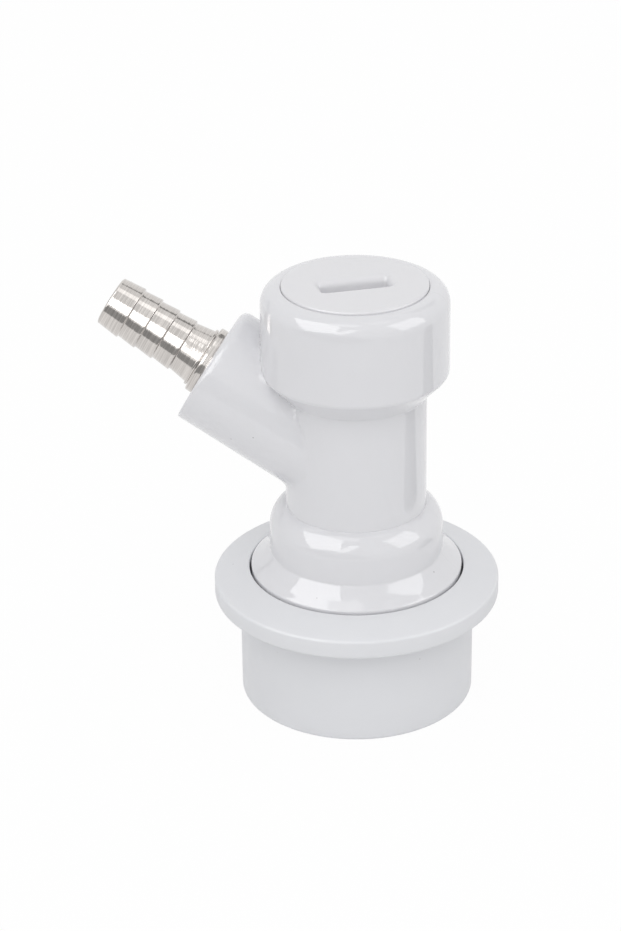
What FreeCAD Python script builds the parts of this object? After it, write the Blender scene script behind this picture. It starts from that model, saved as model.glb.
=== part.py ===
import FreeCAD, Part
import math
import os

# Ball lock gas disconnect for a 17 mm keg post: a moulded body with a side boss for a steel hose
# barb, a spring collar that frees three lock balls, and a spring valve under a screw plug.
# Millimetres. The origin is the middle of the socket's mouth, +Z runs up the stem and the barb
# leans towards -X. Sizes read off the photograph are scaled by the 38 mm collar flange.

# Clearances
running_gap = 0.05
part_gap = 0.1
collar_gap = 0.25
spring_gap = 0.3

# Post socket, from the mouth up
post_bore_d = 17.3
mouth_lead = 0.4
relief_below_ball = 2.0
relief_depth = 0.25
seal_bore_above_ball = 5.2
seal_bore_step = 0.75
seal_bore_len = 3.8
nose_bore_step = 1.7
nose_bore_len = 3.5

# Lock balls
ball_count = 3
ball_d = 4.76
ball_z = 5.0
ball_grip = 0.83
ball_free = 0.07
ball_first_deg = 30.0

# Cage, the part of the body that holds the balls and the snap ring
cage_wall = 2.75
cage_chamfer = 0.3
ring_z = 0.5
ring_thick = 1.0
ring_groove_depth = 0.6
ring_reach = 2.6
ring_split = 3.2

# Collar
collar_travel = 4.5
collar_land_above_ball = 3.0
collar_ring_pocket_gap = 0.2
collar_skirt_wall = 1.3
collar_flange_reach = 3.4
collar_flange_edge = 2.53
collar_crown_rise = 1.23
collar_below_rim = 0.5
collar_edge_round = 0.4

# Collar spring
collar_spring_len = 8.9
collar_spring_wire = 0.9
collar_spring_turns = 4

# Body outside, from the flare up
rim_reach = 2.65
rim_len = 1.7
rim_round = 0.35
flare_rise = 2.4
flare_hollow = 0.18
shoulder_step = 2.2
shoulder_len = 3.3
shoulder_round = 3.6
stem_wall = 3.1
stem_len = 16.0
neck_rise = 3.1
neck_round = 0.5
head_len = 11.6
head_land = 0.9
head_round = 1.7

# Gas valve
orifice_d = 7.2
orifice_len = 2.5
chamber_d = 12.4
valve_travel = 3.0
post_nose_gap = 0.5
seal_wire_d = 2.4
seal_past_orifice = 0.1
plunger_foot_gap = 0.5
plunger_foot_len = 3.0
plunger_neck_step = 0.9
plunger_lip = 0.55
plunger_lip_len = 0.6
plunger_disc_gap = 0.6
plunger_disc_len = 1.4
plunger_guide_len = 5.6
flute_count = 4
flute_d = 1.8
valve_spring_mid_d = 8.0
valve_spring_wire = 0.6
valve_spring_turns = 9
coil_arcs_per_turn = 4

# Screw plug and its gasket
plug_disc_rim = 1.6
plug_disc_len = 1.65
plug_proud = 0.35
plug_edge_round = 0.3
plug_shank_len = 5.5
plug_shank_gap = 0.2
gasket_ledge = 1.9
plug_spigot_len = 1.3
plug_spigot_gap = 0.3
plug_pilot_len = 4.0
pilot_round = 0.8
gasket_thick = 1.5
slot_len = 9.1
slot_width = 4.2
slot_depth = 2.3
slot_draft = 0.25
slot_turn_deg = 27.4

# Side boss and hose barb, measured along the boss from the stem's axis
boss_rise = 6.78
boss_lean_deg = 60.0
boss_d = 16.4
boss_reach = 22.5
boss_round = 0.8
barb_shank_d = 8.4
barb_shank_len = 11.5
barb_groove_count = 3
barb_groove_width = 1.0
barb_groove_depth = 0.35
barb_bore_d = 4.2
barb_flange_d = 9.35
barb_flange_len = 1.1
barb_bead_d = 8.3
barb_bead_len = 0.5
barb_neck_d = 7.7
barb_rib_d = 7.4
barb_rib_step = 0.25
barb_rib_count = 4
barb_rib_pitch = 2.63
barb_tip_len = 3.2
barb_len = 15.4
barb_tip_d = 6.76
barb_tip_round = 0.2

# Radii and heights that follow from the sizes above
post_r = post_bore_d / 2
relief_r = post_r + relief_depth
seal_bore_r = post_r - seal_bore_step
seal_bore_z = ball_z + seal_bore_above_ball
seal_bore_top = seal_bore_z + seal_bore_len
nose_bore_r = seal_bore_r - nose_bore_step
socket_top = seal_bore_top + nose_bore_len
ball_r = ball_d / 2
ball_mid_r = post_r - ball_grip + ball_r
ball_travel = ball_grip + ball_free
cage_r = post_r + cage_wall
groove_r = cage_r - ring_groove_depth
ring_outer_r = cage_r + ring_reach
ring_top = ring_z + ring_thick
collar_land_r = ball_mid_r + ball_r + part_gap
collar_cone_slope = ball_travel / collar_travel
collar_pocket_top = ring_top + part_gap
collar_pocket_r = ring_outer_r + collar_ring_pocket_gap
collar_cone_r = collar_land_r + collar_cone_slope * (ball_z - collar_pocket_top)
spring_step_z = ball_z + collar_land_above_ball
spring_seat_z = spring_step_z + collar_spring_len
rim_r = cage_r + rim_reach
rim_top = spring_seat_z + rim_len
collar_bore_r = rim_r + collar_gap
collar_spring_mid_r = collar_bore_r - spring_gap - collar_spring_wire / 2 - part_gap
chamber_r = chamber_d / 2
stem_r = chamber_r + stem_wall
shoulder_r = stem_r + shoulder_step
flare_top = rim_top + flare_rise
shoulder_top = flare_top + shoulder_len
round_mid_r = shoulder_r - shoulder_round
stem_z = shoulder_top + math.sqrt(shoulder_round**2 - (stem_r - round_mid_r) ** 2)
neck_z = stem_z + stem_len
head_z = neck_z + neck_rise
plug_bore_r = chamber_r + gasket_ledge
plug_shank_r = plug_bore_r - plug_shank_gap
plug_disc_r = plug_shank_r + plug_disc_rim
counterbore_r = plug_disc_r + part_gap
head_r = counterbore_r + head_land + head_round
head_top = head_z + head_len
plug_seat_z = head_top + plug_proud - plug_disc_len
shank_z = plug_seat_z - plug_shank_len
ledge_z = shank_z - gasket_thick
spigot_z = shank_z - plug_spigot_len
orifice_r = orifice_d / 2
seat_z = socket_top + orifice_len
seat_top = seat_z + chamber_r - orifice_r
seal_wire_r = seal_wire_d / 2
seal_mid_r = orifice_r + seal_past_orifice
seal_z = seat_z + (seal_mid_r - orifice_r) + (seal_wire_r + running_gap) * math.sqrt(2)
disc_z = seal_z + seal_wire_r + running_gap
guide_z = disc_z + plunger_disc_len
spring_inner_r = (valve_spring_mid_d - valve_spring_wire) / 2
guide_r = spring_inner_r - spring_gap
spigot_r = chamber_r - plug_spigot_gap
boss_z = stem_z + boss_rise
barb_root = boss_reach - barb_shank_len
barb_tip = boss_reach + barb_len

UP = FreeCAD.Vector(0, 0, 1)
CENTRE = FreeCAD.Vector(0, 0, 0)
lean = math.radians(boss_lean_deg)
BOSS_AXIS = FreeCAD.Vector(-math.sin(lean), 0, math.cos(lean))


def turned(outline):
    """Solid turned about +Z from (radius, height) points; four numbers end an arc, with its
    middle point last."""
    edges = []
    start = outline[-1]
    for point in outline:
        a = FreeCAD.Vector(start[0], 0, start[1])
        b = FreeCAD.Vector(point[0], 0, point[1])
        if len(point) == 4:
            middle = FreeCAD.Vector(point[2], 0, point[3])
            edges.append(Part.Arc(a, middle, b).toShape())
        else:
            edges.append(Part.LineSegment(a, b).toShape())
        start = point
    face = Part.Face(Part.Wire(edges))
    return face.revolve(CENTRE, UP, 360)


def rod(radius, low, high):
    """Cylinder on the Z axis between two heights."""
    return Part.makeCylinder(radius, high - low, FreeCAD.Vector(0, 0, low), UP)


def rounded(solid, size, radius, height):
    """The solid with its circular edge of this radius and height on the Z axis rounded."""
    found = []
    for edge in solid.Edges:
        curve = edge.Curve
        if isinstance(curve, Part.Circle):
            same_size = abs(curve.Radius - radius) < 1e-4
            same_height = abs(curve.Center.z - height) < 1e-4
            if same_size and same_height:
                found.append(edge)
    return solid.makeFillet(size, found)


def on_boss(solid):
    """Move a solid made up the Z axis onto the boss's axis."""
    placed = solid.copy()
    turn = FreeCAD.Rotation(UP, BOSS_AXIS)
    placed.Placement = FreeCAD.Placement(FreeCAD.Vector(0, 0, boss_z), turn)
    return placed


def around(solid, angle_deg):
    """A copy turned about the Z axis."""
    copy = solid.copy()
    copy.rotate(CENTRE, UP, angle_deg)
    return copy


def ball_angle(number):
    """Direction of one ball round the Z axis, in degrees."""
    return ball_first_deg + number * 360.0 / ball_count


def coil(middle_r, wire_d, low, high, turns):
    """Compression spring with its ends ground flat at two heights. Its path is a chain of arcs
    through points of the helix."""
    pitch = (high - low) / turns

    def on_helix(turn):
        angle = 2 * math.pi * turn
        x = middle_r * math.cos(angle)
        y = middle_r * math.sin(angle)
        return FreeCAD.Vector(x, y, low + pitch * turn)

    path = []
    for number in range(turns * coil_arcs_per_turn):
        start = on_helix(number / coil_arcs_per_turn)
        middle = on_helix((number + 0.5) / coil_arcs_per_turn)
        end = on_helix((number + 1) / coil_arcs_per_turn)
        path.append(Part.Arc(start, middle, end).toShape())
    along = FreeCAD.Vector(0, 2 * math.pi * middle_r, pitch)
    section = Part.Wire(Part.makeCircle(wire_d / 2, on_helix(0), along))
    swept = Part.Wire(path).makePipeShell([section], True, True)
    slab = rod(middle_r + wire_d, low, high)
    return swept.common(slab)


def arc_middle(r1, z1, r2, z2, hollow):
    """Middle point of an arc that sags by hollow towards the axis side of a sloping line."""
    length = math.hypot(r2 - r1, z2 - z1)
    return (
        (r1 + r2) / 2 + hollow * (z1 - z2) / length,
        (z1 + z2) / 2 + hollow * (r2 - r1) / length,
    )


# Body: head, stem, side boss, shoulder, flare and ball cage in one moulding
def body_outside():
    hollow_mid = arc_middle(rim_r, rim_top, shoulder_r, flare_top, flare_hollow)
    bend = math.acos((stem_r - round_mid_r) / shoulder_round) / 2
    bend_mid = (
        round_mid_r + shoulder_round * math.cos(bend),
        shoulder_top + shoulder_round * math.sin(bend),
    )
    outside = turned(
        [
            (0, 0),
            (cage_r - cage_chamfer, 0),
            (cage_r, cage_chamfer),
            (cage_r, spring_seat_z),
            (rim_r, spring_seat_z),
            (rim_r, rim_top),
            (shoulder_r, flare_top, *hollow_mid),
            (shoulder_r, shoulder_top),
            (stem_r, stem_z, *bend_mid),
            (stem_r, neck_z),
            (head_r, head_z),
            (head_r, head_top),
            (0, head_top),
        ]
    )
    outside = rounded(outside, head_round, head_r, head_top)
    outside = rounded(outside, neck_round, head_r, head_z)
    outside = rounded(outside, rim_round, rim_r, rim_top)
    boss = rounded(rod(boss_d / 2, 0, boss_reach), boss_round, boss_d / 2, boss_reach)
    return outside.fuse(on_boss(boss))


def body_inside():
    past = 1.0
    return turned(
        [
            (0, -past),
            (post_r + mouth_lead + past, -past),
            (post_r, mouth_lead),
            (post_r, ball_z - relief_below_ball),
            (relief_r, ball_z - relief_below_ball),
            (relief_r, seal_bore_z - (relief_r - seal_bore_r)),
            (seal_bore_r, seal_bore_z),
            (seal_bore_r, seal_bore_top),
            (nose_bore_r, seal_bore_top),
            (nose_bore_r, socket_top),
            (orifice_r, socket_top),
            (orifice_r, seat_z),
            (chamber_r, seat_top),
            (chamber_r, ledge_z),
            (plug_bore_r, ledge_z),
            (plug_bore_r, plug_seat_z),
            (counterbore_r, plug_seat_z),
            (counterbore_r, head_top + past),
            (0, head_top + past),
        ]
    )


def ball_window():
    """Pocket that lets a ball run outwards but not fall into the socket."""
    radius = ball_r + running_gap
    middle = FreeCAD.Vector(ball_mid_r, 0, ball_z)
    seat = Part.makeSphere(radius, middle)
    run = Part.makeCylinder(radius, cage_r, middle, FreeCAD.Vector(1, 0, 0))
    return seat.fuse(run)


def make_body():
    solid = body_outside().cut(body_inside())
    for number in range(ball_count):
        solid = solid.cut(around(ball_window(), ball_angle(number)))
    groove_low = ring_z - running_gap
    groove_high = ring_top + running_gap
    groove = rod(cage_r + ring_reach, groove_low, groove_high)
    groove = groove.cut(rod(groove_r, groove_low, groove_high))
    solid = solid.cut(groove)
    shank_hole = rod(barb_shank_d / 2 + running_gap, barb_root, boss_reach + boss_round)
    passage = rod(barb_bore_d / 2, 0, boss_reach)
    return solid.cut(on_boss(shank_hole)).cut(on_boss(passage))


# Hose barb: turned stainless, pressed into the boss
def make_hose_barb():
    flange_end = boss_reach + barb_flange_len
    bead_end = flange_end + barb_bead_len
    rib_r = barb_rib_d / 2
    valley_r = rib_r - barb_rib_step
    bore_r = barb_bore_d / 2
    first_rib = barb_tip - barb_tip_len - (barb_rib_count - 1) * barb_rib_pitch
    outline = [
        (bore_r, barb_root),
        (barb_shank_d / 2, barb_root),
        (barb_shank_d / 2, boss_reach),
        (barb_flange_d / 2, boss_reach),
        (barb_flange_d / 2, flange_end),
        (barb_bead_d / 2, flange_end),
        (barb_bead_d / 2, bead_end),
        (barb_neck_d / 2, bead_end),
        (valley_r, first_rib),
    ]
    for number in range(barb_rib_count):
        rib_s = first_rib + number * barb_rib_pitch
        outline.append((rib_r, rib_s))
        if number < barb_rib_count - 1:
            outline.append((valley_r, rib_s + barb_rib_pitch))
    tip_r = barb_tip_d / 2
    outline.append((tip_r, barb_tip))
    outline.append((bore_r, barb_tip))
    barb = turned(outline)
    barb = rounded(barb, barb_tip_round, tip_r, barb_tip)
    groove_pitch = barb_shank_len / (barb_groove_count + 1)
    for number in range(barb_groove_count):
        middle = barb_root + (number + 1) * groove_pitch
        low = middle - barb_groove_width / 2
        high = middle + barb_groove_width / 2
        groove = rod(barb_shank_d / 2 + part_gap, low, high)
        floor = rod(barb_shank_d / 2 - barb_groove_depth, low, high)
        barb = barb.cut(groove.cut(floor))
    return on_boss(barb)


# Screw plug: closes the valve chamber; a coin or a flat driver turns it
def slot_cutter():
    top = plug_seat_z + plug_disc_len
    wires = []
    for half_len, half_width, height in (
        (slot_len / 2 - slot_draft, slot_width / 2 - slot_draft, top - slot_depth),
        (slot_len / 2, slot_width / 2, top),
    ):
        corners = [
            FreeCAD.Vector(-half_len, -half_width, height),
            FreeCAD.Vector(half_len, -half_width, height),
            FreeCAD.Vector(half_len, half_width, height),
            FreeCAD.Vector(-half_len, half_width, height),
        ]
        wires.append(Part.makePolygon(corners + corners[:1]))
    return around(Part.makeLoft(wires, True, True), slot_turn_deg)


def make_screw_plug():
    top = plug_seat_z + plug_disc_len
    plug = turned(
        [
            (0, spigot_z - plug_pilot_len),
            (guide_r, spigot_z - plug_pilot_len),
            (guide_r, spigot_z),
            (spigot_r, spigot_z),
            (spigot_r, shank_z),
            (plug_shank_r, shank_z),
            (plug_shank_r, plug_seat_z),
            (plug_disc_r, plug_seat_z),
            (plug_disc_r, top),
            (0, top),
        ]
    )
    plug = rounded(plug, plug_edge_round, plug_disc_r, top)
    plug = rounded(plug, pilot_round, guide_r, spigot_z - plug_pilot_len)
    return plug.cut(slot_cutter())


def make_plug_gasket():
    outer = rod(plug_shank_r + part_gap, ledge_z, shank_z)
    return outer.cut(rod(spigot_r + running_gap, ledge_z, shank_z))


# Valve plunger, its seal and its spring
def make_plunger_pin():
    foot_z = socket_top - post_nose_gap - valve_travel
    foot_r = orifice_r - plunger_foot_gap
    neck_r = foot_r - plunger_neck_step
    neck_z_low = foot_z + plunger_foot_len
    lip_top = seal_z - seal_wire_r - running_gap
    groove_radius = seal_mid_r - seal_wire_r - running_gap
    lip_r = groove_radius + plunger_lip
    disc_r = chamber_r - plunger_disc_gap
    pin = turned(
        [
            (0, foot_z),
            (foot_r, foot_z),
            (foot_r, neck_z_low),
            (neck_r, neck_z_low),
            (neck_r, lip_top - plunger_lip_len),
            (lip_r, lip_top - plunger_lip_len),
            (lip_r, lip_top),
            (groove_radius, lip_top),
            (groove_radius, disc_z),
            (disc_r, disc_z),
            (disc_r, guide_z),
            (guide_r, guide_z),
            (guide_r, guide_z + plunger_guide_len),
            (0, guide_z + plunger_guide_len),
        ]
    )
    pin = rounded(pin, pilot_round, guide_r, guide_z + plunger_guide_len)
    for number in range(flute_count):
        turn = number * 360.0 / flute_count
        at_foot = FreeCAD.Vector(foot_r, 0, foot_z)
        foot_flute = Part.makeCylinder(flute_d / 2, plunger_foot_len, at_foot, UP)
        at_disc = FreeCAD.Vector(disc_r, 0, disc_z)
        disc_flute = Part.makeCylinder(flute_d / 2, plunger_disc_len, at_disc, UP)
        pin = pin.cut(around(foot_flute, turn)).cut(around(disc_flute, turn))
    return pin


def make_plunger_seal():
    return Part.makeTorus(seal_mid_r, seal_wire_r, FreeCAD.Vector(0, 0, seal_z), UP)


def make_plunger_spring():
    middle_r = valve_spring_mid_d / 2
    return coil(middle_r, valve_spring_wire, guide_z, spigot_z, valve_spring_turns)


# Collar: pulled up by its flange, it lets the balls run out into its cone
def make_collar():
    top = rim_top - collar_below_rim
    flange_top = top - collar_crown_rise
    flange_low = flange_top - collar_flange_edge
    skirt_r = collar_bore_r + collar_skirt_wall
    flange_r = skirt_r + collar_flange_reach
    collar = turned(
        [
            (collar_pocket_r, 0),
            (skirt_r, 0),
            (skirt_r, flange_low),
            (flange_r, flange_low),
            (flange_r, flange_top),
            (collar_bore_r, top),
            (collar_bore_r, spring_step_z),
            (collar_land_r, spring_step_z),
            (collar_land_r, ball_z),
            (collar_cone_r, collar_pocket_top),
            (collar_pocket_r, collar_pocket_top),
        ]
    )
    for radius, height in (
        (skirt_r, 0),
        (flange_r, flange_low),
        (flange_r, flange_top),
        (collar_bore_r, top),
    ):
        collar = rounded(collar, collar_edge_round, radius, height)
    return collar


def make_collar_spring():
    return coil(
        collar_spring_mid_r,
        collar_spring_wire,
        spring_step_z,
        spring_seat_z,
        collar_spring_turns,
    )


def make_retaining_ring():
    ring = rod(ring_outer_r, ring_z, ring_top)
    ring = ring.cut(rod(groove_r + running_gap, ring_z, ring_top))
    corner = FreeCAD.Vector(0, -ring_split / 2, ring_z)
    split = Part.makeBox(ring_outer_r, ring_split, ring_thick, corner)
    return ring.cut(split)


def make_lock_ball(number):
    ball = Part.makeSphere(ball_r, FreeCAD.Vector(ball_mid_r, 0, ball_z))
    return around(ball, ball_angle(number))


pieces = {
    "body": make_body(),
    "hose_barb": make_hose_barb(),
    "screw_plug": make_screw_plug(),
    "plug_gasket": make_plug_gasket(),
    "plunger_pin": make_plunger_pin(),
    "plunger_seal": make_plunger_seal(),
    "plunger_spring": make_plunger_spring(),
    "collar": make_collar(),
    "collar_spring": make_collar_spring(),
    "retaining_ring": make_retaining_ring(),
}
for number in range(ball_count):
    pieces[f"lock_ball_{number + 1}"] = make_lock_ball(number)

os.makedirs("parts", exist_ok=True)
for name, shape in pieces.items():
    solids = shape.Solids
    if len(solids) != 1 or not solids[0].isValid():
        raise ValueError(f"{name} is not one valid solid")
    solids[0].exportStep(f"parts/{name}.step")
    print(name, round(solids[0].Volume, 1))
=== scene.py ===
import math
import random

import bmesh
import bpy
from mathutils import Matrix, Quaternion, Vector


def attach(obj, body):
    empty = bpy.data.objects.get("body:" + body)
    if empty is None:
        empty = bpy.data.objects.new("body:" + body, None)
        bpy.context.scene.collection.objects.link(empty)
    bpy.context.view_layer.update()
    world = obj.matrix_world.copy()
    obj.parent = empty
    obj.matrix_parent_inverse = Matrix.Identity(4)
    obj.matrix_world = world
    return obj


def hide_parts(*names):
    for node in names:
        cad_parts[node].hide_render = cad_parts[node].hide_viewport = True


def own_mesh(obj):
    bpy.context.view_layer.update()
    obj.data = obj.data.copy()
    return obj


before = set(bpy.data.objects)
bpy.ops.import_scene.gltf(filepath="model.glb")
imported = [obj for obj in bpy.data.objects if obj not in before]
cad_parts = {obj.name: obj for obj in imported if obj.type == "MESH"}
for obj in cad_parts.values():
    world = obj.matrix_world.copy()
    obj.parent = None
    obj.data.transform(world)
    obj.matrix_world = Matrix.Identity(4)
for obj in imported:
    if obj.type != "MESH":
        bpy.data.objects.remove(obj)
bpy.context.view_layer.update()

# Body: one moulding in glossy cool grey-white plastic. It holds the head, the stem, the side boss,
# the rounded shoulder, the flare that covers the collar spring, and the cage with the three ball
# windows inside the collar. Its sizes are in millimetres, as the mould's drawing would give them.
MM = 0.001
WELD = 1e-4
OVERCUT = 1.0
CAGE_R = 11.4
SPRING_SEAT_Z = 16.9
RIM_R = 14.05
RIM_TOP = 18.6
FLARE_HOLLOW = 0.13
FLARE_CURVE_R = 8.0
SHOULDER_R = 11.5
FLARE_TOP = 21.0
SHOULDER_Z = 24.3
SHOULDER_ROUND = 3.6
STEM_R = 9.3
NECK_Z = 43.617
HEAD_R = 12.2
HEAD_Z = 46.717
HEAD_TOP = 58.317
MOUTH_R = 8.65
MOUTH_LEAD_IN = 0.4
RELIEF_R = 8.9
RELIEF_LOW = 3.0
RELIEF_TOP = 9.2
SEAL_BORE_R = 7.9
SEAL_BORE_LOW = 10.2
SEAL_BORE_TOP = 14.0
NOSE_R = 6.2
NOSE_TOP = 17.5
VALVE_HOLE_R = 3.6
VALVE_SEAT_Z = 20.0
VALVE_SEAT_TOP = 22.6
CHAMBER_R = 6.2
LEDGE_Z = 50.017
THREAD_HOLE_R = 8.1
PLUG_SEAT_Z = 57.017
PLUG_HOLE_R = 9.55
PLUG_HOLE_BREAK = 0.06
GROOVE_R = 10.8
GROOVE_CUT_R = 13.0
GROOVE_LOW = 0.45
GROOVE_TOP = 1.55
BALL_COUNT = 3
BALL_R = 2.38
BALL_Z = 5.0
BALL_OUT = 10.2
BALL_FIRST_DEG = 30.0
WINDOW_GAP = 0.05
BOSS_TILT = math.radians(60)
BOSS_Z = 34.397
BOSS_R = 8.2
BOSS_REACH = 22.5
BOSS_ROUND = 0.5
BOSS_EDGE = 1.4
ROUND_ZONE = 1.3
ROUND_LEAST = 0.45
ROUND_GAIN = 1.9
ROUND_FROM_DEG = 105
ROUND_FADE_DEG = 60
BARB_ROOT = 11.0
BARB_HOLE_R = 4.25
PASSAGE_R = 2.1
CREASE_REACH = 0.75
CREASE_RINGS = 4
CREASE_PASSES = 7
UP = Vector((0, 0, 1))
BOSS_AXIS = Vector((-math.sin(BOSS_TILT), 0, math.cos(BOSS_TILT)))
ON_BOSS = Matrix.Translation((0, 0, BOSS_Z)) @ UP.rotation_difference(BOSS_AXIS).to_matrix().to_4x4()
ball_sides = []
for number in range(BALL_COUNT):
    around = Matrix.Rotation(math.radians(BALL_FIRST_DEG + number * 360 / BALL_COUNT), 4, "Z")
    ball_sides.append(around @ Matrix.Translation((BALL_OUT, 0, BALL_Z)))


def arc(centre_r, centre_z, radius, start_deg, end_deg, steps):
    """Points of a round stretch of outline, from one angle to another."""
    points = []
    for step in range(steps + 1):
        angle = math.radians(start_deg + (end_deg - start_deg) * step / steps)
        points.append((centre_r + radius * math.cos(angle), centre_z + radius * math.sin(angle)))
    return points


def eased(corners, steps=5):
    """Outline through (radius, height) corners; a third number is the radius of a corner's round."""
    outline = []
    for number, corner in enumerate(corners):
        here = Vector(corner[:2])
        if len(corner) < 3:
            outline.append(here)
            continue
        back = (Vector(corners[number - 1][:2]) - here).normalized()
        ahead = (Vector(corners[(number + 1) % len(corners)][:2]) - here).normalized()
        half = back.angle(ahead) / 2
        middle = here + (back + ahead).normalized() * corner[2] / math.sin(half)
        first = here + back * corner[2] / math.tan(half) - middle
        last = here + ahead * corner[2] / math.tan(half) - middle
        for step in range(steps + 1):
            outline.append(middle + first.slerp(last, step / steps) * corner[2])
    return outline


def turned(outline, steps=160, cell=0.5, turn_deg=360):
    """A closed outline turned about the Z axis, with its long runs divided into cells."""
    bm = bmesh.new()
    ends = [Vector((corner[0], 0, corner[1])) for corner in outline]
    last = bm.verts.new(ends[-1])
    for number, end in enumerate(ends):
        start = ends[number - 1]
        if max(start.x, end.x) < 1e-6:
            last = bm.verts.new(end)
            continue
        cells = int((end - start).length / cell) + 1
        for step in range(cells):
            point = bm.verts.new(start.lerp(end, (step + 1) / cells))
            bm.edges.new((last, point))
            last = point
    bmesh.ops.spin(
        bm, geom=bm.verts[:] + bm.edges[:], cent=(0, 0, 0), axis=UP, dvec=(0, 0, 0),
        angle=math.radians(turn_deg), steps=steps, use_merge=turn_deg == 360)
    bmesh.ops.remove_doubles(bm, verts=bm.verts, dist=WELD)
    bmesh.ops.recalc_face_normals(bm, faces=bm.faces)
    return bm


def moved(bm, matrix):
    """The same mesh, put in its place."""
    bmesh.ops.transform(bm, matrix=matrix, verts=bm.verts)
    return bm


def placed(name, bm, material):
    """A mesh object in the scene from a bmesh, which is used up."""
    mesh = bpy.data.meshes.new(name)
    bm.to_mesh(mesh)
    bm.free()
    mesh.materials.append(material)
    thing = bpy.data.objects.new(name, mesh)
    bpy.context.scene.collection.objects.link(thing)
    return thing


def combined(first, others, operation):
    """A solid joined with others, or with the others cut from it; the others stay clear of each other."""
    tools = bmesh.new()
    for other in others:
        mesh = bpy.data.meshes.new("stock")
        other.to_mesh(mesh)
        other.free()
        tools.from_mesh(mesh)
    holders = []
    for bm in (first, tools):
        holder = placed("stock", bm, None)
        holder.data.materials.append(None)
        holders.append(holder)
    cutter = holders[0].modifiers.new("cut", "BOOLEAN")
    cutter.operation = operation
    cutter.object = holders[1]
    cutter.solver = "MANIFOLD"
    depsgraph = bpy.context.evaluated_depsgraph_get()
    made = bmesh.new()
    made.from_mesh(bpy.data.meshes.new_from_object(holders[0].evaluated_get(depsgraph)))
    for holder in holders:
        bpy.data.objects.remove(holder)
    return made


def finished(name, bm, material, node, sharp_deg=28):
    """A piece in metres from a bmesh in millimetres, which stands for its CAD node."""
    bmesh.ops.scale(bm, vec=(MM, MM, MM), verts=bm.verts)
    for face in bm.faces:
        face.material_index = 0
    piece = placed(name, bm, material)
    piece.data.shade_smooth()
    piece.data.set_sharp_from_angle(angle=math.radians(sharp_deg))
    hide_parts(node)
    return piece


def new_material(name):
    """A material that starts from the plain shader."""
    material = bpy.data.materials.new(name)
    material.use_nodes = True
    return material


def feed(owner, node, sockets):
    """Gives each named socket of a node its value, or links it to the output it is given."""
    for name, value in sockets.items():
        if isinstance(value, bpy.types.NodeSocket):
            owner.node_tree.links.new(value, node.inputs[name])
        else:
            node.inputs[name].default_value = value


def added(owner, kind, sockets, **settings):
    """A new node in a material or a world, with its settings made and its sockets fed."""
    node = owner.node_tree.nodes.new(kind)
    for name, value in settings.items():
        setattr(node, name, value)
    feed(owner, node, sockets)
    return node


def shades(colour, low, high):
    """The two ends of a range of tone about a colour, as sockets A and B of a Mix node take them."""
    darker = (*[c * low for c in colour], 1)
    lighter = (*[min(c * high, 1) for c in colour], 1)
    return {"A": darker, "B": lighter}


def moulded_plastic(name, colour, roughness, waviness_um, grain_um, parting_um=0.0):
    """Moulded plastic: faint flow of tone, a few specks, uneven gloss, sink waves and fine grain."""
    material = new_material(name)
    place = added(material, "ShaderNodeTexCoord", {}).outputs["Object"]

    def noise(scale, detail):
        pattern = added(material, "ShaderNodeTexNoise", {"Vector": place, "Scale": scale, "Detail": detail})
        return pattern.outputs["Fac"]

    flow = {"Factor": noise(90, 3), **shades(colour, 0.985, 1.015)}
    tone = added(material, "ShaderNodeMix", flow, data_type="RGBA")
    cells = added(material, "ShaderNodeTexVoronoi", {"Vector": place, "Scale": 260})
    specks = added(material, "ShaderNodeMapRange", {
        "Value": cells.outputs["Distance"],
        "From Min": 0.020, "From Max": 0.034, "To Min": 0.6, "To Max": 0.0})
    specked = added(material, "ShaderNodeMix", {
        "Factor": specks.outputs["Result"],
        "A": tone.outputs["Result"], "B": (0.16, 0.15, 0.14, 1)}, data_type="RGBA")
    gloss = added(material, "ShaderNodeMapRange", {
        "Value": noise(420, 4), "From Min": 0.3, "From Max": 0.7,
        "To Min": roughness * 0.85, "To Max": roughness * 1.2})
    waves = added(material, "ShaderNodeBump", {"Height": noise(130, 1), "Distance": waviness_um * 1e-6})
    surface = added(material, "ShaderNodeBump", {
        "Height": noise(6000, 2), "Distance": grain_um * 1e-6, "Normal": waves.outputs["Normal"]})
    if parting_um:
        split = added(material, "ShaderNodeSeparateXYZ", {"Vector": place})
        off = added(material, "ShaderNodeMath", {0: split.outputs["Y"]}, operation="ABSOLUTE")
        ridge = added(material, "ShaderNodeMapRange", {
            "Value": off.outputs["Value"], "From Max": 0.00009, "To Min": 1.0, "To Max": 0.0},
            interpolation_type="SMOOTHSTEP")
        surface = added(material, "ShaderNodeBump", {
            "Height": ridge.outputs["Result"], "Distance": parting_um * 1e-6,
            "Normal": surface.outputs["Normal"]})
    feed(material, material.node_tree.nodes["Principled BSDF"], {
        "Base Color": specked.outputs["Result"],
        "Roughness": gloss.outputs["Result"],
        "Normal": surface.outputs["Normal"],
        "IOR": 1.52,
        "Subsurface Weight": 0.12,
        "Subsurface Radius": (1.0, 0.95, 0.9),
        "Subsurface Scale": 0.0006})
    return material


def soften_crease(bm, reach, passes):
    """Ease the crease where the boss, whose faces carry slot 1, meets the rest of the body."""
    seam = set()
    for edge in bm.edges:
        if len({face.material_index for face in edge.link_faces}) == 2:
            seam.update(edge.verts)
    near = set(seam)
    rim = seam
    for ring in range(CREASE_RINGS):
        grown = set()
        for vert in rim:
            for edge in vert.link_edges:
                grown.add(edge.other_vert(vert))
        rim = grown - near
        near |= grown
    places = [vert.co.copy() for vert in seam]
    close = []
    for vert in near:
        if min((vert.co - place).length for place in places) < reach:
            close.append(vert)
    for smoothing in range(passes):
        bmesh.ops.smooth_vert(
            bm, verts=close, factor=0.5, use_axis_x=True, use_axis_y=True, use_axis_z=True)


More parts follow.
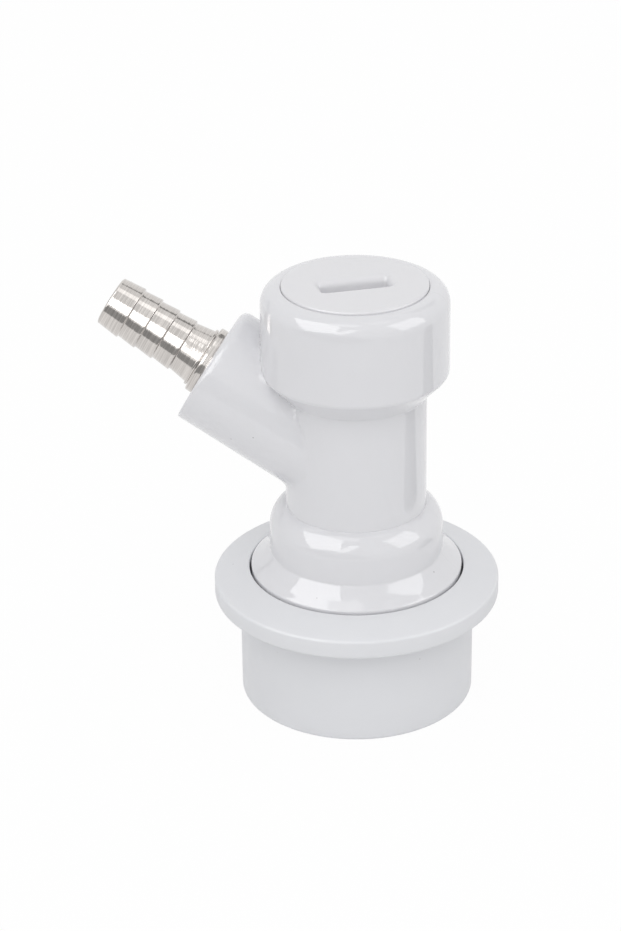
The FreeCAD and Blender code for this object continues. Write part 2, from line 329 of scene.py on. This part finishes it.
hollow_r = (RIM_R + SHOULDER_R) / 2 - FLARE_HOLLOW
hollow_z = (RIM_TOP + FLARE_TOP) / 2 - FLARE_HOLLOW
bend_end = math.degrees(math.acos((STEM_R - SHOULDER_R + SHOULDER_ROUND) / SHOULDER_ROUND))
outside = eased(
    [
        (0, 0),
        (CAGE_R, 0, 0.3),
        (CAGE_R, SPRING_SEAT_Z),
        (RIM_R, SPRING_SEAT_Z, 0.15),
        (RIM_R, RIM_TOP, 0.35),
        (hollow_r, hollow_z, FLARE_CURVE_R),
        (SHOULDER_R, FLARE_TOP, 0.5),
        *arc(SHOULDER_R - SHOULDER_ROUND, SHOULDER_Z, SHOULDER_ROUND, 0, bend_end, 14),
        (STEM_R, NECK_Z, 0.4),
        (HEAD_R, HEAD_Z, 0.9),
        (HEAD_R, HEAD_TOP, 2.3),
        (0, HEAD_TOP),
    ],
    steps=8,
)
body = turned(outside, steps=192)
boss = turned(
    eased(
        [
            (0, 0),
            (BOSS_R, 0),
            (BOSS_R, BOSS_REACH - BOSS_EDGE),
            (BOSS_R, BOSS_REACH, BOSS_ROUND),
            (BOSS_R - BOSS_EDGE, BOSS_REACH),
            (0, BOSS_REACH),
        ],
        steps=8,
    ),
    steps=144,
    cell=0.9,
)
# The round of the boss's end is small on its underside and grows towards the top.
for vert in boss.verts:
    spread = Vector((vert.co.x, vert.co.y))
    if vert.co.z > BOSS_REACH - ROUND_ZONE and spread.length > BOSS_R - ROUND_ZONE:
        off_top = math.degrees(spread.angle(Vector((1, 0))))
        share = min(max((ROUND_FROM_DEG - off_top) / ROUND_FADE_DEG, 0), 1)
        growth = ROUND_LEAST + ROUND_GAIN * share * share * (3 - 2 * share)
        edge = spread.normalized() * BOSS_R
        corner = Vector((edge.x, edge.y, BOSS_REACH))
        vert.co = corner + (vert.co - corner) * growth
for face in boss.faces:
    face.material_index = 1
body = combined(body, [moved(boss, ON_BOSS)], "UNION")
soften_crease(body, CREASE_REACH, CREASE_PASSES)
inside = turned(
    eased(
        [
            (0, -OVERCUT),
            (MOUTH_R + MOUTH_LEAD_IN + OVERCUT, -OVERCUT),
            (MOUTH_R, MOUTH_LEAD_IN, 0.2),
            (MOUTH_R, RELIEF_LOW),
            (RELIEF_R, RELIEF_LOW),
            (RELIEF_R, RELIEF_TOP),
            (SEAL_BORE_R, SEAL_BORE_LOW, 0.3),
            (SEAL_BORE_R, SEAL_BORE_TOP),
            (NOSE_R, SEAL_BORE_TOP, 0.2),
            (NOSE_R, NOSE_TOP),
            (VALVE_HOLE_R, NOSE_TOP, 0.15),
            (VALVE_HOLE_R, VALVE_SEAT_Z, 0.15),
            (CHAMBER_R, VALVE_SEAT_TOP),
            (CHAMBER_R, LEDGE_Z, 0.1),
            (THREAD_HOLE_R, LEDGE_Z),
            (THREAD_HOLE_R, PLUG_SEAT_Z, 0.2),
            (PLUG_HOLE_R, PLUG_SEAT_Z),
            (PLUG_HOLE_R, HEAD_TOP - PLUG_HOLE_BREAK),
            (PLUG_HOLE_R + PLUG_HOLE_BREAK + OVERCUT, HEAD_TOP + OVERCUT),
            (0, HEAD_TOP + OVERCUT),
        ]
    ),
    steps=128,
    cell=1.5,
)
body = combined(body, [inside], "DIFFERENCE")
ring_groove = turned(
    [(GROOVE_R, GROOVE_LOW), (GROOVE_CUT_R, GROOVE_LOW), (GROOVE_CUT_R, GROOVE_TOP), (GROOVE_R, GROOVE_TOP)],
    steps=128,
    cell=5,
)
gas_way = turned(
    [
        (0, 0),
        (PASSAGE_R, 0),
        (PASSAGE_R, BARB_ROOT),
        (BARB_HOLE_R, BARB_ROOT),
        (BARB_HOLE_R, BOSS_REACH + OVERCUT),
        (0, BOSS_REACH + OVERCUT),
    ],
    steps=64,
    cell=5,
)
cutters = [ring_groove, moved(gas_way, ON_BOSS)]
for side in ball_sides:
    window = bmesh.new()
    bmesh.ops.create_uvsphere(window, u_segments=48, v_segments=24, radius=BALL_R + WINDOW_GAP)
    moved(window, Matrix.Rotation(math.pi / 2, 4, "Y"))
    outer = [vert for vert in window.verts if vert.co.x > 0.01]
    bmesh.ops.translate(window, vec=(CAGE_R - BALL_OUT + OVERCUT, 0, 0), verts=outer)
    cutters.append(moved(window, side))
body = combined(body, cutters, "DIFFERENCE")
body_plastic = moulded_plastic(
    "body_plastic", colour=(0.678, 0.678, 0.70), roughness=0.045, waviness_um=9, grain_um=0.25,
    parting_um=14)
moulded_body = finished("moulded_body", body, body_plastic, "body")
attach(moulded_body, "body")

# Hose barb: stainless steel turned from bar and pressed into the boss. Its ribs are steep towards
# the boss and taper to the tip, so that a hose slides on and stays. The lathe leaves fine rings.
BORE_R = 2.1
BARB_SHANK_R = 4.2
BARB_FLANGE_R = 4.675
BARB_FLANGE_LEN = 1.1
BEAD_R = 4.15
BEAD_GAP = 0.1
BEAD_STEP = 0.3
BEAD_LEN = 0.4
NECK_R = 3.85
RIB_R = 3.7
RIB_STEP = 0.25
RIB_LEAN = 0.16
RIB_COUNT = 4
RIB_PITCH = 2.63
TIP_LEN = 3.2
TIP_R = 3.38
TIP_BREAK_IN = 0.26
TIP_BREAK_LEN = 0.15
BARB_TIP = 37.9
FEED_FROM_R = 2.6
FEED_PITCH = 0.16
FEED_DEPTH = 0.004


def machined(outline, pitch, depth):
    """The outline with the feed marks of the lathe on its outer runs."""
    feed_marks = random.Random(5)
    marked = []
    for number, end in enumerate(outline):
        start = outline[number - 1]
        if min(start.x, end.x) > FEED_FROM_R:
            steps = int((end - start).length / pitch) + 1
            for step in range(1, steps):
                point = start.lerp(end, step / steps)
                marked.append(Vector((point.x + feed_marks.uniform(-depth, depth), point.y)))
        marked.append(end)
    return marked


def turned_steel(name, colour, roughness, ring_um=1.0, axis_turn=(0, 0, 0)):
    """Turned stainless steel, with the lathe's fine rings across the axis. Its colour is darker and lighter
    in these rings: partly streaks in the steel, partly painted shade of the lathe's grooves.
    """
    material = new_material(name)
    place = added(material, "ShaderNodeTexCoord", {}).outputs["Object"]
    along = added(material, "ShaderNodeMapping", {"Vector": place, "Rotation": axis_turn})
    flat = added(material, "ShaderNodeMapping", {
        "Vector": along.outputs["Vector"], "Scale": (0.02, 0.02, 1.0)})
    wander = added(material, "ShaderNodeTexNoise", {
        "Vector": flat.outputs["Vector"], "Scale": 7500, "Detail": 2}).outputs["Fac"]
    tone = added(material, "ShaderNodeMapRange", {"Value": wander, "From Min": 0.35, "From Max": 0.65})
    # Painted shade: the darker rings of colour stand for shade held in the lathe's grooves, mixed with the
    # steel's own streaks of tone.
    streaks_and_groove_shade = {"Factor": tone.outputs["Result"], **shades(colour, 0.84, 1.12)}
    shade = added(material, "ShaderNodeMix", streaks_and_groove_shade, data_type="RGBA")
    gloss = added(material, "ShaderNodeMapRange", {
        "Value": wander, "From Min": 0.3, "From Max": 0.7,
        "To Min": roughness * 0.7, "To Max": roughness * 1.5})
    rings = added(material, "ShaderNodeBump", {"Height": wander, "Distance": ring_um * 1e-6})
    feed(material, material.node_tree.nodes["Principled BSDF"], {
        "Metallic": 1.0,
        "Base Color": shade.outputs["Result"],
        "Roughness": gloss.outputs["Result"],
        "Normal": rings.outputs["Normal"]})
    return material


flange_top = BOSS_REACH + BARB_FLANGE_LEN
bead_low = flange_top + BEAD_GAP
bead_top = bead_low + BEAD_LEN
first_rib = BARB_TIP - TIP_LEN - (RIB_COUNT - 1) * RIB_PITCH
barb_outline = [
    (BORE_R, BARB_ROOT, 0.2),
    (BARB_SHANK_R, BARB_ROOT, 0.3),
    (BARB_SHANK_R, BOSS_REACH),
    (BARB_FLANGE_R, BOSS_REACH, 0.12),
    (BARB_FLANGE_R, flange_top, 0.2),
    (BEAD_R - BEAD_STEP, flange_top),
    (BEAD_R - BEAD_STEP, bead_low),
    (BEAD_R, bead_low, 0.12),
    (BEAD_R, bead_top, 0.12),
    (NECK_R, bead_top),
    (RIB_R - RIB_STEP, first_rib - RIB_LEAN, 0.08),
]
for number in range(RIB_COUNT):
    rib = first_rib + number * RIB_PITCH
    barb_outline.append((RIB_R, rib, 0.05))
    if number < RIB_COUNT - 1:
        barb_outline.append((RIB_R - RIB_STEP, rib + RIB_PITCH - RIB_LEAN, 0.05))
barb_outline.append((TIP_R, BARB_TIP - TIP_BREAK_LEN, 0.06))
barb_outline.append((TIP_R - TIP_BREAK_IN, BARB_TIP, 0.06))
barb_outline.append((BORE_R, BARB_TIP, 0.25))
barb_outline = machined(eased(barb_outline, steps=3), FEED_PITCH, FEED_DEPTH)
barb = moved(turned(barb_outline, steps=128, cell=2.0), ON_BOSS)
barb_steel = turned_steel(
    "barb_steel", colour=(0.62, 0.59, 0.565), roughness=0.1, ring_um=5.0, axis_turn=(0, BOSS_TILT, 0))
turned_barb = finished("turned_barb", barb, barb_steel, "hose_barb")
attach(turned_barb, "body")

# Lock balls: three hardened stainless balls of 3/16 inch in the cage's windows. The collar's land
# holds them in under the rim of the keg's post.
ball_steel = turned_steel("ball_steel", colour=(0.72, 0.72, 0.73), roughness=0.08, ring_um=0.0)
for number, side in enumerate(ball_sides):
    ball = bmesh.new()
    bmesh.ops.create_uvsphere(ball, u_segments=48, v_segments=32, radius=BALL_R)
    node = f"lock_ball_{number + 1}"
    steel_ball = finished(f"steel_ball_{number + 1}", moved(ball, side), ball_steel, node)
    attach(steel_ball, node)

# Collar spring: stainless wire coiled between the collar's step and the underside of the flare,
# with its ends ground flat. It pushes the collar down over the balls.
COLLAR_STEP_Z = 8.0
COLLAR_SPRING_R = 13.4
COLLAR_WIRE = 0.9
COLLAR_TURNS = 4
GROUND_OFF = 0.01


def wire_section(bm, middle_r, height, radius, segments):
    """The round section of a wire, standing beside the Z axis, ready to be swept round it."""
    bmesh.ops.create_circle(bm, segments=segments, radius=radius)
    upright = Matrix.Translation((middle_r, 0, height)) @ Matrix.Rotation(math.pi / 2, 4, "X")
    return moved(bm, upright)


def cap_open_ends(bm):
    """Close each open edge loop with a face."""
    bmesh.ops.holes_fill(bm, edges=[edge for edge in bm.edges if edge.is_boundary], sides=0)


def coil(middle_r, wire, low, high, turns, per_turn=72):
    """Compression spring: a ring of wire swept up a helix and ground flat at both ends."""
    bm = wire_section(bmesh.new(), middle_r, low, wire / 2, segments=16)
    rise = (high - low) / (turns * per_turn)
    bmesh.ops.spin(
        bm, geom=bm.verts[:] + bm.edges[:], cent=(0, 0, 0), axis=UP, dvec=(0, 0, rise),
        angle=math.radians(360 * turns), steps=turns * per_turn)
    for height, outwards in ((low + GROUND_OFF, -UP), (high - GROUND_OFF, UP)):
        bmesh.ops.bisect_plane(
            bm, geom=bm.verts[:] + bm.edges[:] + bm.faces[:], plane_co=(0, 0, height),
            plane_no=outwards, clear_outer=True)
        cap_open_ends(bm)
    bmesh.ops.recalc_face_normals(bm, faces=bm.faces)
    return bm


spring_wire = turned_steel("spring_wire", colour=(0.55, 0.55, 0.56), roughness=0.25)
wire = coil(COLLAR_SPRING_R, COLLAR_WIRE, COLLAR_STEP_Z, SPRING_SEAT_Z, COLLAR_TURNS)
collar_coil = finished("collar_coil", wire, spring_wire, "collar_spring", sharp_deg=50)
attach(collar_coil, "body")
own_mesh(collar_coil)

# Collar: a satin plastic sleeve with a finger flange, slid over the cage from below. Inside it has
# the land that holds the balls in, the cone that lets them out, and the pocket for its snap ring.
LAND_R = 12.68
CONE_R = 13.36
POCKET_R = 14.2
POCKET_Z = 1.6
COLLAR_BORE_R = 14.3
SKIRT_R = 15.6
FLANGE_R = 19.0
FLANGE_LOW = 14.34
FLANGE_TOP = 16.87
CROWN_TOP = 18.35
collar = turned(
    eased(
        [
            (POCKET_R, 0, 0.2),
            (SKIRT_R, 0, 0.4),
            (SKIRT_R, FLANGE_LOW, 0.3),
            (FLANGE_R, FLANGE_LOW, 0.4),
            (FLANGE_R, FLANGE_TOP, 0.45),
            (COLLAR_BORE_R, CROWN_TOP, 0.18),
            (COLLAR_BORE_R, COLLAR_STEP_Z),
            (LAND_R, COLLAR_STEP_Z, 0.15),
            (LAND_R, BALL_Z),
            (CONE_R, POCKET_Z, 0.1),
            (POCKET_R, POCKET_Z),
        ]
    ),
    steps=224,
    cell=1.2,
)
collar_plastic = moulded_plastic(
    "collar_plastic", colour=(0.69, 0.696, 0.718), roughness=0.48, waviness_um=10, grain_um=1.0)
collar_sleeve = finished("collar_sleeve", collar, collar_plastic, "collar")
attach(collar_sleeve, "collar")

# Retaining ring: a split snap ring stamped from stainless sheet. It sits in the cage's groove and
# stops the collar from being pushed off.
RING_IN_R = 10.85
RING_OUT_R = 14.0
RING_LOW = 0.5
RING_TOP = 1.5
RING_EASE = 0.1
RING_SPLIT_DEG = 14.0
ring_outline = eased(
    [
        (RING_IN_R, RING_LOW, RING_EASE),
        (RING_OUT_R, RING_LOW, RING_EASE),
        (RING_OUT_R, RING_TOP, RING_EASE),
        (RING_IN_R, RING_TOP, RING_EASE),
    ]
)
ring = turned(ring_outline, steps=128, cell=4, turn_deg=360 - RING_SPLIT_DEG)
cap_open_ends(ring)
moved(ring, Matrix.Rotation(math.radians(RING_SPLIT_DEG / 2), 4, "Z"))
bmesh.ops.recalc_face_normals(ring, faces=ring.faces)
ring_steel = turned_steel("ring_steel", colour=(0.58, 0.58, 0.60), roughness=0.22)
snap_ring = finished("snap_ring", ring, ring_steel, "retaining_ring")
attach(snap_ring, "body")

# Valve plunger: a moulded pin whose fluted foot is pushed up by the post's own valve. Above its
# seal it has a fluted disc that the gas flows past and a stub that the spring sits round.
FOOT_Z = 14.0
FOOT_TOP = 17.0
FOOT_R = 3.1
PIN_NECK_R = 2.2
LIP_R = 3.0
LIP_LEN = 0.6
SEAL_Z = 21.868
SEAL_OUT = 3.7
SEAL_WIRE_R = 1.2
SEAL_GAP = 0.05
DISC_Z = 23.118
DISC_LEN = 1.4
DISC_R = 5.6
GUIDE_R = 3.4
GUIDE_LEN = 5.6
FLUTES = 4
FLUTE_R = 0.9
FOOT_FLUTE_OVER = 0.3
DISC_FLUTE_OVER = 0.4


def rod(radius, low, high, steps):
    """A plain closed cylinder on the Z axis."""
    return turned([(0, low), (radius, low), (radius, high), (0, high)], steps, cell=high - low + 1)


lip_top = SEAL_Z - SEAL_WIRE_R - SEAL_GAP
seal_groove_r = SEAL_OUT - SEAL_WIRE_R - SEAL_GAP
guide_z = DISC_Z + DISC_LEN
pin = turned(
    eased(
        [
            (0, FOOT_Z),
            (FOOT_R, FOOT_Z, 0.35),
            (FOOT_R, FOOT_TOP, 0.3),
            (PIN_NECK_R, FOOT_TOP, 0.3),
            (PIN_NECK_R, lip_top - LIP_LEN, 0.2),
            (LIP_R, lip_top - LIP_LEN, 0.1),
            (LIP_R, lip_top, 0.1),
            (seal_groove_r, lip_top),
            (seal_groove_r, DISC_Z),
            (DISC_R, DISC_Z, 0.15),
            (DISC_R, guide_z, 0.15),
            (GUIDE_R, guide_z, 0.15),
            (GUIDE_R, guide_z + GUIDE_LEN, 0.8),
            (0, guide_z + GUIDE_LEN),
        ]
    ),
    steps=64,
    cell=3.0,
)
flutes = []
for number in range(FLUTES):
    around = Matrix.Rotation(math.radians(number * 360 / FLUTES), 4, "Z")
    foot_flute = rod(FLUTE_R, FOOT_Z - OVERCUT, FOOT_TOP + FOOT_FLUTE_OVER, steps=32)
    disc_flute = rod(FLUTE_R, DISC_Z - DISC_FLUTE_OVER, guide_z + DISC_FLUTE_OVER, steps=32)
    flutes.append(moved(foot_flute, around @ Matrix.Translation((FOOT_R, 0, 0))))
    flutes.append(moved(disc_flute, around @ Matrix.Translation((DISC_R, 0, 0))))
pin = combined(pin, flutes, "DIFFERENCE")
pin_plastic = moulded_plastic(
    "pin_plastic", colour=(0.74, 0.74, 0.73), roughness=0.3, waviness_um=4, grain_um=0.8)
valve_pin = finished("valve_pin", pin, pin_plastic, "plunger_pin")
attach(valve_pin, "plunger")

# Plunger seal: a moulded O-ring of black rubber in the pin's groove. It rests on the cone of the
# valve seat and closes it.
def black_rubber(name):
    """Moulded black rubber with a dusty bloom."""
    material = new_material(name)
    place = added(material, "ShaderNodeTexCoord", {}).outputs["Object"]
    bloom = added(material, "ShaderNodeTexNoise", {"Vector": place, "Scale": 900, "Detail": 5}).outputs["Fac"]
    tone = added(material, "ShaderNodeMix", {
        "Factor": bloom, "A": (0.012, 0.012, 0.012, 1), "B": (0.035, 0.035, 0.036, 1)},
        data_type="RGBA")
    gloss = added(material, "ShaderNodeMapRange", {"Value": bloom, "To Min": 0.42, "To Max": 0.68})
    feed(material, material.node_tree.nodes["Principled BSDF"], {
        "Base Color": tone.outputs["Result"],
        "Roughness": gloss.outputs["Result"]})
    return material


rubber = black_rubber("seal_rubber")
o_ring = wire_section(bmesh.new(), SEAL_OUT, SEAL_Z, SEAL_WIRE_R, segments=28)
bmesh.ops.spin(
    o_ring, geom=o_ring.verts[:] + o_ring.edges[:], cent=(0, 0, 0), axis=UP, dvec=(0, 0, 0),
    angle=math.radians(360), steps=80, use_merge=True)
bmesh.ops.remove_doubles(o_ring, verts=o_ring.verts, dist=WELD)
bmesh.ops.recalc_face_normals(o_ring, faces=o_ring.faces)
valve_o_ring = finished("valve_o_ring", o_ring, rubber, "plunger_seal")
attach(valve_o_ring, "plunger")

# Valve spring: a slender stainless coil between the plunger's disc and the screw plug, which
# closes the valve when the fitting is off the post.
VALVE_SPRING_R = 4.0
VALVE_WIRE = 0.6
VALVE_TURNS = 9
SPIGOT_Z = 50.217
wire = coil(VALVE_SPRING_R, VALVE_WIRE, guide_z, SPIGOT_Z, VALVE_TURNS, per_turn=48)
valve_coil = finished("valve_coil", wire, spring_wire, "plunger_spring", sharp_deg=50)
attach(valve_coil, "body")
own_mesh(valve_coil)

# Plug gasket: a flat rubber washer round the plug's spigot. The plug squeezes it on the ledge at
# the top of the valve chamber.
SPIGOT_R = 5.9
PLUG_SHANK_R = 7.9
PLUG_SHANK_Z = 51.517
gasket_in_r = SPIGOT_R + 0.05
gasket_out_r = PLUG_SHANK_R + 0.1
gasket = turned(
    eased(
        [
            (gasket_in_r, LEDGE_Z, 0.1),
            (gasket_out_r, LEDGE_Z, 0.2),
            (gasket_out_r, PLUG_SHANK_Z, 0.2),
            (gasket_in_r, PLUG_SHANK_Z, 0.1),
        ]
    ),
    steps=96,
    cell=2,
)
rubber_washer = finished("rubber_washer", gasket, rubber, "plug_gasket")
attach(rubber_washer, "plug_gasket")

# Screw plug: a satin moulded cap with a coarse thread and a slot for a coin. It stands a little
# proud of the head, and a fine dark joint shows round it.
PLUG_TOP = 58.667
PLUG_R = 9.5
PILOT_LEN = 4.0
THREAD_PITCH = 1.5
THREAD_DEPTH = 0.45
THREAD_TURNS = 3
THREAD_STEPS = 72
THREAD_START = 0.5
THREAD_SUNK = 0.2
TOOTH_ROOT_LOW = -0.1
TOOTH_ROOT_TOP = 1.0
TOOTH_CREST_LOW = 0.3
TOOTH_CREST_TOP = 0.6
PLUG_LAND_LEN = 0.35
PLUG_LAND_SLOPE = 0.6
SLOT_LEN = 8.8
SLOT_WIDTH = 2.7
SLOT_DEPTH = 2.8
SLOT_DRAFT = 0.15
SLOT_EASE = 1.15
SLOT_EASE_STEPS = 9
SLOT_FLOOR_BREAK = 0.2
SLOT_CORNER_R = 0.3
SLOT_CORNER_STEPS = 5
SLOT_TURN_DEG = 27.4
core_r = PLUG_SHANK_R - THREAD_DEPTH
land_top = PLUG_SHANK_Z + PLUG_LAND_LEN
plug = turned(
    eased(
        [
            (0, SPIGOT_Z - PILOT_LEN),
            (GUIDE_R, SPIGOT_Z - PILOT_LEN, 0.8),
            (GUIDE_R, SPIGOT_Z, 0.2),
            (SPIGOT_R, SPIGOT_Z, 0.2),
            (SPIGOT_R, PLUG_SHANK_Z),
            (PLUG_SHANK_R, PLUG_SHANK_Z, 0.15),
            (PLUG_SHANK_R, land_top, 0.1),
            (core_r, land_top + THREAD_DEPTH * PLUG_LAND_SLOPE),
            (core_r, PLUG_SEAT_Z),
            (PLUG_R, PLUG_SEAT_Z, 0.1),
            (PLUG_R, PLUG_TOP, 0.28),
            (0, PLUG_TOP),
        ]
    ),
    steps=160,
    cell=2.5,
)
thread = bmesh.new()
tooth = []
for tooth_r, height in (
    (core_r - THREAD_SUNK, TOOTH_ROOT_LOW),
    (core_r - THREAD_SUNK, TOOTH_ROOT_TOP),
    (PLUG_SHANK_R, TOOTH_CREST_TOP),
    (PLUG_SHANK_R, TOOTH_CREST_LOW),
):
    tooth.append(thread.verts.new((tooth_r, 0, PLUG_SHANK_Z + THREAD_START + height)))
bmesh.ops.spin(
    thread, geom=[thread.faces.new(tooth)], cent=(0, 0, 0), axis=UP,
    dvec=(0, 0, THREAD_PITCH / THREAD_STEPS), angle=math.radians(360 * THREAD_TURNS),
    steps=THREAD_STEPS * THREAD_TURNS)
cap_open_ends(thread)
bmesh.ops.recalc_face_normals(thread, faces=thread.faces)
plug = combined(plug, [thread], "UNION")
slot_profile = [(-OVERCUT, SLOT_EASE)]
for step in range(SLOT_EASE_STEPS + 1):
    angle = math.radians(90 * step / SLOT_EASE_STEPS)
    slot_profile.append((SLOT_EASE * (1 - math.cos(angle)), SLOT_EASE * (1 - math.sin(angle))))
slot_profile.append((SLOT_DEPTH - SLOT_FLOOR_BREAK, -SLOT_DRAFT))
slot_profile.append((SLOT_DEPTH, -SLOT_DRAFT - SLOT_FLOOR_BREAK))
slot_cut = bmesh.new()
loops = []
for depth, margin in slot_profile:
    half_len = SLOT_LEN / 2 - SLOT_CORNER_R + min(margin, 0)
    half_width = SLOT_WIDTH / 2 - SLOT_CORNER_R + min(margin, 0)
    corner_r = SLOT_CORNER_R + max(margin, 0)
    loop = []
    for quarter, across, along in ((0, 1, 1), (1, -1, 1), (2, -1, -1), (3, 1, -1)):
        for step in range(SLOT_CORNER_STEPS):
            angle = math.radians(90 * quarter + 90 * step / (SLOT_CORNER_STEPS - 1))
            x = across * half_len + corner_r * math.cos(angle)
            y = along * half_width + corner_r * math.sin(angle)
            loop.append(slot_cut.verts.new((x, y, PLUG_TOP - depth)))
    loops.append(loop)
for upper, lower in zip(loops, loops[1:]):
    for number in range(len(upper)):
        slot_cut.faces.new((upper[number - 1], upper[number], lower[number], lower[number - 1]))
slot_cut.faces.new(loops[0])
slot_cut.faces.new(loops[-1])
bmesh.ops.recalc_face_normals(slot_cut, faces=slot_cut.faces)
moved(slot_cut, Matrix.Rotation(math.radians(SLOT_TURN_DEG), 4, "Z"))
plug = combined(plug, [slot_cut], "DIFFERENCE")
plug_plastic = moulded_plastic(
    "plug_plastic", colour=(0.685, 0.683, 0.702), roughness=0.34, waviness_um=5, grain_um=0.8)
slotted_plug = finished("slotted_plug", plug, plug_plastic, "screw_plug")
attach(slotted_plug, "screw_plug")

# Studio: a white floor and an even white surround, with soft boxes at the left, at the right, above
# and in front. Darker cards in front, at both sides and behind show in the gloss and the steel. The
# camera stands where the photograph was taken from.
PHOTO_WIDTH = 621
PHOTO_HEIGHT = 931
LENS_PX = 2747
SENSOR = 36.0
CAMERA_FAR = 0.3624
CAMERA_AZIMUTH_DEG = 13.2
CAMERA_LIFT_DEG = 27.03
CAMERA_ROLL_DEG = -0.30
TARGET = Vector((0, 0, 0.030))
TARGET_PX = (356.0, 483.8)
CARD_FAR = 0.8
KEY_FAR = 0.9
FLOOR_HALF = 3.0
FLOOR_GLOW_SHARE = 0.96
SURROUND_LIGHT = 0.91


def towards(azimuth_deg, lift_deg):
    """Direction from the object to a camera or lamp; azimuth 0 is in front, at -Y."""
    azimuth = math.radians(azimuth_deg)
    lift = math.radians(lift_deg)
    return Vector((
        math.sin(azimuth) * math.cos(lift), -math.cos(azimuth) * math.cos(lift), math.sin(lift)))


def card(name, middle, across, rise, strength):
    """A card round the object that only gloss and metal see; a strength of 1 is white."""
    bm = bmesh.new()
    corners = []
    for side, end in ((-1, -1), (1, -1), (1, 1), (-1, 1)):
        corners.append(bm.verts.new(middle + across * side / 2 + rise * end / 2))
    bm.faces.new(corners)
    light = new_material(name)
    glow = added(light, "ShaderNodeEmission", {"Strength": strength})
    feed(light, light.node_tree.nodes["Material Output"], {"Surface": glow.outputs["Emission"]})
    panel = placed(name, bm, light)
    panel.visible_camera = False
    panel.visible_diffuse = False
    panel.visible_transmission = False
    panel.visible_shadow = False


def facing_card(name, azimuth_deg, lift_deg, width, height, strength, spin_deg=0.0):
    """A card that faces the object, turned by its spin about the line to it."""
    way = towards(azimuth_deg, lift_deg)
    turn = way.to_track_quat("Z", "Y") @ Quaternion((0, 0, 1), math.radians(spin_deg))
    across = turn @ Vector((width, 0, 0))
    rise = turn @ Vector((0, height, 0))
    card(name, TARGET + way * CARD_FAR, across, rise, strength)


def seen_directly(owner):
    """1 for the camera and for reflections, 0 for the light that falls on the object."""
    rays = added(owner, "ShaderNodeLightPath", {})
    either = added(owner, "ShaderNodeMath", {
        0: rays.outputs["Is Camera Ray"], 1: rays.outputs["Is Glossy Ray"]}, operation="MAXIMUM")
    return either.outputs["Value"]


facing_card("left_box", -41, 41, width=0.66, height=0.84, strength=4.6, spin_deg=28)
facing_card("right_box", 86, 31, width=0.52, height=0.66, strength=3.5)
facing_card("high_box", -14, 73, width=0.32, height=0.2, strength=2.4)
facing_card("top_box", 95, 72, width=0.26, height=0.22, strength=1.6)
facing_card("far_frame", 156, 42, width=0.2, height=0.3, strength=0.33)
facing_card("left_strip", -118, 12, width=0.06, height=0.34, strength=0.3, spin_deg=40)
low_end = TARGET + towards(-6, 16) * CARD_FAR
high_end = TARGET + towards(12, 46) * CARD_FAR
card("front_box", (low_end + high_end) / 2, Vector((0.17, 0, 0)), high_end - low_end, 3.6)
card("front_strip", Vector((-0.15, -0.47, 0.09)), Vector((0.5, 0, 0)), Vector((0, -0.66, 0.18)), 0.37)
side_way = towards(108, 0)
side_across = UP.cross(side_way) * 0.036
card("side_strip", side_way * 0.14 + Vector((0, 0, 0.001)), side_way * 0.16, side_across, 0.1)

key = bpy.data.lights.new("key", "AREA")
key.shape = "SQUARE"
key.size = 0.5
key.energy = 1.65
key_lamp = bpy.data.objects.new("key_lamp", key)
key_way = towards(13, 52)
key_lamp.location = TARGET + key_way * KEY_FAR
key_lamp.rotation_mode = "QUATERNION"
key_lamp.rotation_quaternion = key_way.to_track_quat("Z", "Y")
key_lamp.visible_glossy = False
bpy.context.scene.collection.objects.link(key_lamp)

camera_data = bpy.data.cameras.new("camera")
camera_data.sensor_width = SENSOR
camera_data.lens = LENS_PX * SENSOR / PHOTO_HEIGHT
camera_data.clip_start = 0.01
camera_data.clip_end = 20
camera = bpy.data.objects.new("camera", camera_data)
back = towards(CAMERA_AZIMUTH_DEG, CAMERA_LIFT_DEG)
look = (-back).to_track_quat("-Z", "Y")
roll = Quaternion((0, 0, 1), math.radians(CAMERA_ROLL_DEG))
sight = Vector((TARGET_PX[0] - PHOTO_WIDTH / 2, PHOTO_HEIGHT / 2 - TARGET_PX[1], -LENS_PX))
camera.location = TARGET + back * CAMERA_FAR
camera.rotation_mode = "QUATERNION"
camera.rotation_quaternion = look @ roll @ sight.rotation_difference(Vector((0, 0, -1)))
bpy.context.scene.collection.objects.link(camera)
bpy.context.scene.camera = camera

floor_paint = new_material("floor_paint")
paint = floor_paint.node_tree.nodes["Principled BSDF"]
feed(floor_paint, paint, {"Base Color": (0.8, 0.8, 0.8, 1), "Roughness": 0.9})
glow = added(floor_paint, "ShaderNodeEmission", {"Strength": 1.0})
share = added(
    floor_paint, "ShaderNodeMath", {0: seen_directly(floor_paint), 1: FLOOR_GLOW_SHARE}, operation="MULTIPLY")
blend = added(floor_paint, "ShaderNodeMixShader", {
    "Fac": share.outputs["Value"], 1: paint.outputs["BSDF"], 2: glow.outputs["Emission"]})
feed(floor_paint, floor_paint.node_tree.nodes["Material Output"], {"Surface": blend.outputs["Shader"]})
floor_bm = bmesh.new()
bmesh.ops.create_grid(floor_bm, x_segments=1, y_segments=1, size=FLOOR_HALF)
studio_floor = placed("studio_floor", floor_bm, floor_paint)

world = bpy.data.worlds.new("surround")
world.use_nodes = True
bpy.context.scene.world = world
strength = added(world, "ShaderNodeMapRange", {
    "Value": seen_directly(world), "To Min": SURROUND_LIGHT, "To Max": 1.0})
feed(world, world.node_tree.nodes["Background"], {
    "Color": (1, 1, 1, 1), "Strength": strength.outputs["Result"]})
bpy.context.scene.view_settings.view_transform = "Standard"
